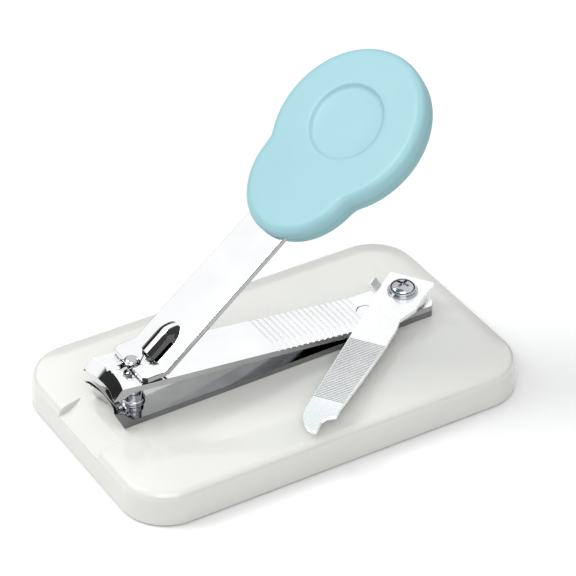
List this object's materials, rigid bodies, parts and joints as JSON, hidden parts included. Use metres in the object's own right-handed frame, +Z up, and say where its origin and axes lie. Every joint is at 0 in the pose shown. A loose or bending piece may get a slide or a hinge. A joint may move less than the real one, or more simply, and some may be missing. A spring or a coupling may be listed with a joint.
{
  "type": "desk nail clipper",
  "caption": "Desk nail clipper: a chrome lever clipper with a round thumb pad and a swinging hooked file, screwed to a low rounded plastic base.",
  "frame": {"origin": "middle of the base's plan, at the level of the desk under the rubber feet", "axes": "+Z up; +X along the clipper from the jaws to the screw; +Y completes the right-handed frame, so the file lies on the -Y side"},
  "size_m": [0.0966, 0.0598, 0.0745],
  "materials": {
    "white_shell": "polished white moulding",
    "grey_plate": "fine matt",
    "foot_rubber": "matt",
    "screw_steel": "bright zinc plating",
    "insert_brass": "turned",
    "leaf_chrome": "mirror polished plating",
    "pin_chrome": "polished plating",
    "lever_chrome": "mirror polished plating",
    "pad_upper": "soft satin",
    "pad_lower": "satin",
    "file_steel": "bright plate, cut blade"
  },
  "bodies": {
    "base": {"base_shell": "white_shell", "base_plate": "grey_plate", "rubber_feet": "foot_rubber", "plate_screws": "screw_steel", "threaded_insert": "insert_brass", "lower_leaf": "leaf_chrome", "leaf_rivet": "leaf_chrome", "pin_collar": "pin_chrome", "pivot_bush": "screw_steel", "screw_washer": "screw_steel", "file_screw": "pin_chrome"},
    "spring_leaf": {"upper_leaf": "leaf_chrome"},
    "pin": {"clipper_pin": "pin_chrome"},
    "lever_arm": {"lever": "lever_chrome", "pad_carrier": "pad_lower", "pad_cover": "pad_upper"},
    "file": {"nail_file": "file_steel"}
  },
  "joints": [
    {"name": "jaw_close", "type": "hinge", "parent": "base", "child": "spring_leaf", "pos_m": [0.0234, 0, 0.01165], "axis": [0, -1, 0], "range_deg": [0, 2.4], "stiffness_Nm_per_rad": 1, "springref_deg": -2.86},
    {"name": "lever_swivel", "type": "hinge", "parent": "base", "child": "pin", "pos_m": [-0.035, 0, 0.02072], "axis": [0, 0, 1], "range_deg": [-20, 20]},
    {"name": "lever_press", "type": "hinge", "parent": "pin", "child": "lever_arm", "pos_m": [-0.035, 0, 0.02072], "axis": [0, 1, 0], "range_deg": [0, 34], "stiffness_Nm_per_rad": 0.12, "springref_deg": -20.05},
    {"name": "file_swing", "type": "hinge", "parent": "base", "child": "file", "pos_m": [0.033, 0, 0.01375], "axis": [0, 0, 1], "range_deg": [-2, 150]}
  ],
  "couplings": [
    {"joint": "jaw_close", "follows": "lever_press", "ratio": 0.069}
  ]
}
